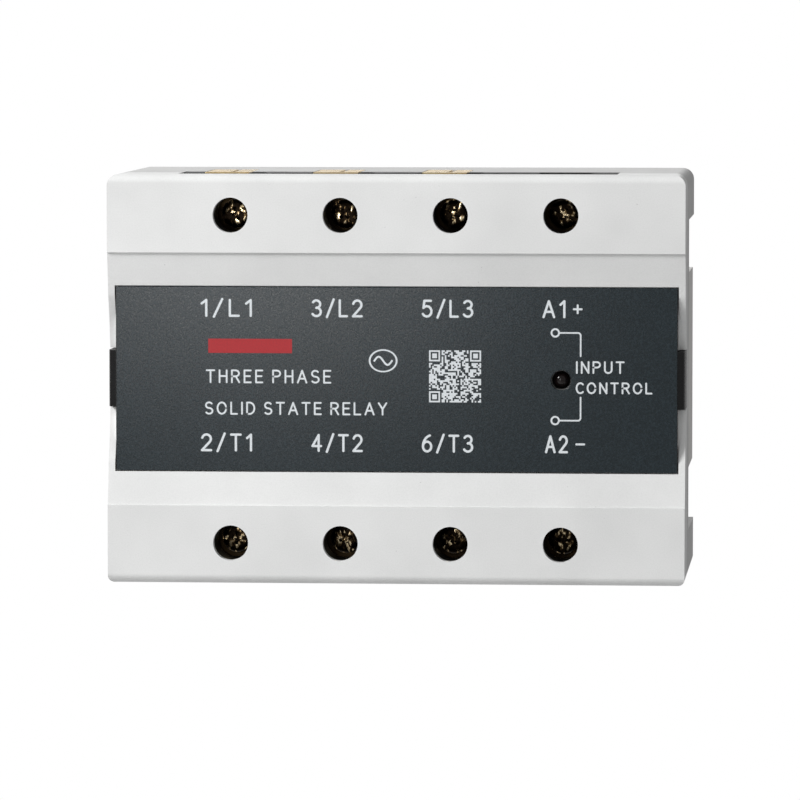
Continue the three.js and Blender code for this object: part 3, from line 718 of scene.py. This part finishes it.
def printed_stroke(bm, path, line, layer=0):
    """A line of that width through (x, z) points, with round ends and corners.

    Neighbouring pieces of the line overlap, so each is a hair thicker than the last."""
    for (x0, z0), (x1, z1) in zip(path, path[1:]):
        layer = (layer + 1) % len(OVERLAP_STEPS)
        made = bmesh.ops.create_circle(bm, cap_ends=True, segments=12, radius=line / 2 * MM)["verts"]
        bmesh.ops.rotate(bm, verts=made, cent=(0, 0, 0), matrix=Matrix.Rotation(math.radians(15), 3, "Z"))
        ahead = [v for v in made if v.co.x > 0]
        bmesh.ops.translate(bm, verts=ahead, vec=(math.hypot(x1 - x0, z1 - z0) * MM, 0, 0))
        lifted = bmesh.ops.extrude_face_region(bm, geom=made[0].link_faces[:])["geom"]
        top = [item for item in lifted if isinstance(item, bmesh.types.BMVert)]
        bmesh.ops.translate(bm, verts=top, vec=(0, 0, INK + OVERLAP_STEPS[layer]))
        turn = Matrix.Rotation(math.pi / 2, 3, "X") @ Matrix.Rotation(math.atan2(z1 - z0, x1 - x0), 3, "Z")
        bmesh.ops.rotate(bm, verts=made + top, cent=(0, 0, 0), matrix=turn)
        bmesh.ops.translate(bm, verts=made + top, vec=(x0 * MM, PLATE_FACE + INK / 2, z0 * MM))


def printed_words(bm, words, x, z, width, height, line):
    """Adds words centred on (x, z), with strokes of that line width, in millimetres."""
    lines, length = strokes_of(words)
    across = (width - line) / length
    up = height - line
    for count, stroke in enumerate(lines):
        path = [(x + (u - length / 2) * across, z + (v - 0.5) * up) for u, v in stroke]
        printed_stroke(bm, path, line, 3 * count)


def printed_bar(bm, x0, x1, z0, z1):
    made = bmesh.ops.create_cube(bm, size=1)["verts"]
    bmesh.ops.scale(bm, verts=made, vec=((x1 - x0) * MM, INK, (z1 - z0) * MM))
    bmesh.ops.translate(bm, verts=made, vec=((x0 + x1) / 2 * MM, PLATE_FACE, (z0 + z1) / 2 * MM))


def printed_ring(bm, x, z, outer, inner, stretch=1.0):
    """A flat ring, or an oval one, drawn as two circles bridged and thickened."""
    loops = []
    for radius in (outer, inner):
        verts = bmesh.ops.create_circle(bm, segments=40, radius=radius * MM)["verts"]
        loops.append(list({e for v in verts for e in v.link_edges}))
    band = bmesh.ops.bridge_loops(bm, edges=loops[0] + loops[1])["faces"]
    lifted = bmesh.ops.extrude_face_region(bm, geom=band)["geom"]
    top = [item for item in lifted if isinstance(item, bmesh.types.BMVert)]
    bmesh.ops.translate(bm, verts=top, vec=(0, 0, INK))
    verts = list({v for f in band for v in f.verts} | set(top))
    bmesh.ops.scale(bm, verts=verts, vec=(stretch, 1, 1))
    bmesh.ops.rotate(bm, verts=verts, cent=(0, 0, 0), matrix=Matrix.Rotation(math.pi / 2, 3, "X"))
    bmesh.ops.translate(bm, verts=verts, vec=(x * MM, PLATE_FACE + INK / 2, z * MM))


print("alphabet of", len(STROKES), "letters and figures")

# %% [markdown]
# ### Words, symbol and code square
# The input symbol is two small rings whose lines run round the lamp. The code square
# is a seeded random pattern: it looks like a printed code and says nothing.

# %% Print the plate
MARK_LINE = 0.44
WORD_LINE = 0.33
MARK_HEIGHT = 3.3
UPPER_ROW = 12.9
LOWER_ROW = -11.6
COLUMNS = (-30.9, -10.7, 9.4)
for z, marks in ((UPPER_ROW, ("1/L1", "3/L2", "5/L3")), (LOWER_ROW, ("2/T1", "4/T2", "6/T3"))):
    for x, words in zip(COLUMNS, marks):
        printed_words(PRINT, words, x, z, 9.4, MARK_HEIGHT, MARK_LINE)
PLUS_X = 33
SIGN_LINE, SIGN_HALF = 0.38, 0.7
for words, x, z in (("A1", 28.7, UPPER_ROW), ("A2", 29.2, LOWER_ROW)):
    printed_words(PRINT, words, x, z, 4.2, MARK_HEIGHT, MARK_LINE)
    printed_stroke(PRINT, [(x + 3.6, z), (x + 5, z)], SIGN_LINE)
printed_stroke(PRINT, [(PLUS_X, UPPER_ROW - SIGN_HALF), (PLUS_X, UPPER_ROW + SIGN_HALF)], SIGN_LINE, 3)
printed_words(PRINT, "THREE PHASE", -23.2, 0.45, 22.9, 2.5, WORD_LINE)
printed_words(PRINT, "SOLID STATE RELAY", -18.2, -5.35, 33.3, 2.4, WORD_LINE)
printed_words(PRINT, "INPUT", 37.1, 2.35, 8.8, 2.3, WORD_LINE)
printed_words(PRINT, "CONTROL", 39.6, -1.4, 13.9, 2.15, WORD_LINE)
RING_X = 28.95
BEND_X, BEND = 33.1, 0.45
for z, end, side in ((8.6, 4.4, -1), (-7.3, -3.1, 1)):
    printed_ring(PRINT, RING_X, z, 0.85, 0.52)
    corner = [
        (BEND_X + BEND * math.sin(a), z + side * BEND * (1 - math.cos(a)))
        for a in (0, 0.5, 1, math.pi / 2)
    ]
    printed_stroke(PRINT, [(RING_X + 0.9, z), *corner, (BEND_X + BEND, end)], 0.3)
OVAL_X, OVAL_Z = -2.3, 3.4
printed_ring(PRINT, OVAL_X, OVAL_Z, 2.1, 1.83, stretch=1.25)
WAVE_LENGTH, WAVE_HEIGHT, WAVE_STEPS = 3.2, 0.75, 12
wave = []
for i in range(WAVE_STEPS + 1):
    along = i / WAVE_STEPS
    rise = WAVE_HEIGHT * math.sin(2 * math.pi * along)
    wave.append((OVAL_X + WAVE_LENGTH * (along - 0.5), OVAL_Z + rise))
printed_stroke(PRINT, wave, 0.36)

CODE_CELLS = 33
CODE_SIZE = 9.45
CODE_LEFT, CODE_BOTTOM = 6.05, -4.1
FILLED_SHARE = 0.52
cell = CODE_SIZE / CODE_CELLS
draw = random.Random(7)


def cell_printed(row, column):
    """Three corners hold a square ring round a dot. The rest is random."""
    far = CODE_CELLS - 4
    for ring_row, ring_column in ((3, 3), (far, 3), (far, far)):
        reach = max(abs(row - ring_row), abs(column - ring_column))
        if reach <= 4:
            return reach in (0, 1, 3)
    return draw.random() < FILLED_SHARE


for row in range(CODE_CELLS):
    z0 = CODE_BOTTOM + row * cell
    run = None
    for column in range(CODE_CELLS + 1):
        filled = column < CODE_CELLS and cell_printed(row, column)
        if filled and run is None:
            run = column
        if not filled and run is not None:
            printed_bar(PRINT, CODE_LEFT + run * cell, CODE_LEFT + column * cell, z0, z0 + cell)
            run = None
PALE_INK = ink("pale_ink", (0.76, 0.80, 0.83))
RED_INK = ink("red_ink", (0.43, 0.02, 0.026))
print("printed marks:", len(PRINT.faces), "faces")
make_piece("front_plate_marks", PRINT, "front_plate", "front_plate", finish=PALE_INK)
stripe = bmesh.new()
printed_bar(stripe, -34.2, -18.9, 4.7, 7.3)
make_piece("front_plate_stripe", stripe, "front_plate", "front_plate", finish=RED_INK)

# %% [markdown]
# ## Floor and light
# Soft light from above and from the left, a pale room all round, and a plain pale
# floor well below the relay, because a relay hangs on its rail. A low softbox lays a
# sheen over the plate, one behind brightens the top wall, and a very small one in
# front reaches down the driver holes onto the screws, whose glints are mostly painted.

# %% Stage
FLOOR_RADIUS, FLOOR_DROP = 0.8, 0.25
floor_mesh = bmesh.new()
bmesh.ops.create_circle(floor_mesh, cap_ends=True, segments=96, radius=FLOOR_RADIUS)
bmesh.ops.translate(floor_mesh, verts=floor_mesh.verts, vec=(0, 0, -FLOOR_DROP))
mesh = bpy.data.meshes.new("floor")
floor_mesh.to_mesh(mesh)
floor_mesh.free()
floor = bpy.data.objects.new("floor", mesh)
bpy.context.scene.collection.objects.link(floor)
paper = Finish("pale_paper")
fibres = paper.noise(40, 2)
paper.drive("Base Color", paper.ramp(fibres, [(0.3, (0.60, 0.60, 0.60)), (0.7, (0.64, 0.64, 0.64))]))
paper.set(roughness=0.9)
mesh.materials.append(paper.material)
floor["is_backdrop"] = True

AMBIENT = 0.30
world = bpy.data.worlds.new("pale room")
bpy.context.scene.world = world
world.use_nodes = True
nodes, links = world.node_tree.nodes, world.node_tree.links
room = nodes["Background"]
backdrop = nodes.new("ShaderNodeBackground")
for light, strength in ((room, AMBIENT), (backdrop, 1.0)):
    light.inputs["Color"].default_value = (1, 1, 1, 1)
    light.inputs["Strength"].default_value = strength
seen_directly = nodes.new("ShaderNodeLightPath").outputs["Is Camera Ray"]
mixer = nodes.new("ShaderNodeMixShader")
links.new(seen_directly, mixer.inputs["Fac"])
links.new(room.outputs["Background"], mixer.inputs[1])
links.new(backdrop.outputs["Background"], mixer.inputs[2])
links.new(mixer.outputs["Shader"], nodes["World Output"].inputs["Surface"])


def softbox(name, place, size, power):
    light = bpy.data.lights.new(name, "AREA")
    light.shape = "RECTANGLE"
    light.size, light.size_y = size
    light.energy = power
    lamp = bpy.data.objects.new(name, light)
    bpy.context.scene.collection.objects.link(lamp)
    lamp.location = place
    lamp.rotation_euler = (Vector((0, 0, 0)) - lamp.location).to_track_quat("-Z", "Y").to_euler()


softbox("key from above", Vector((-0.54, -0.42, 0.47)), (0.35, 0.25), 6.7)
softbox("sheen on the plate", Vector((-0.062, -0.36, 0.016)), (0.09, 0.03), 0.078)
softbox("glow of the backdrop", Vector((-0.1, 0.9, 0.42)), (0.7, 0.5), 1.2)
softbox("glints in the driver holes", Vector((-0.3, -0.95, 0.22)), (0.03, 0.03), 0.17)
print("stage and lights ready")

# %% [markdown]
# ## Sizes, then the end
# The finished relay must fill the same box as its frame.

# %% Sizes and finish
low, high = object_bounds()
print("finished size:", [round(v / MM, 2) for v in high - low], "mm")
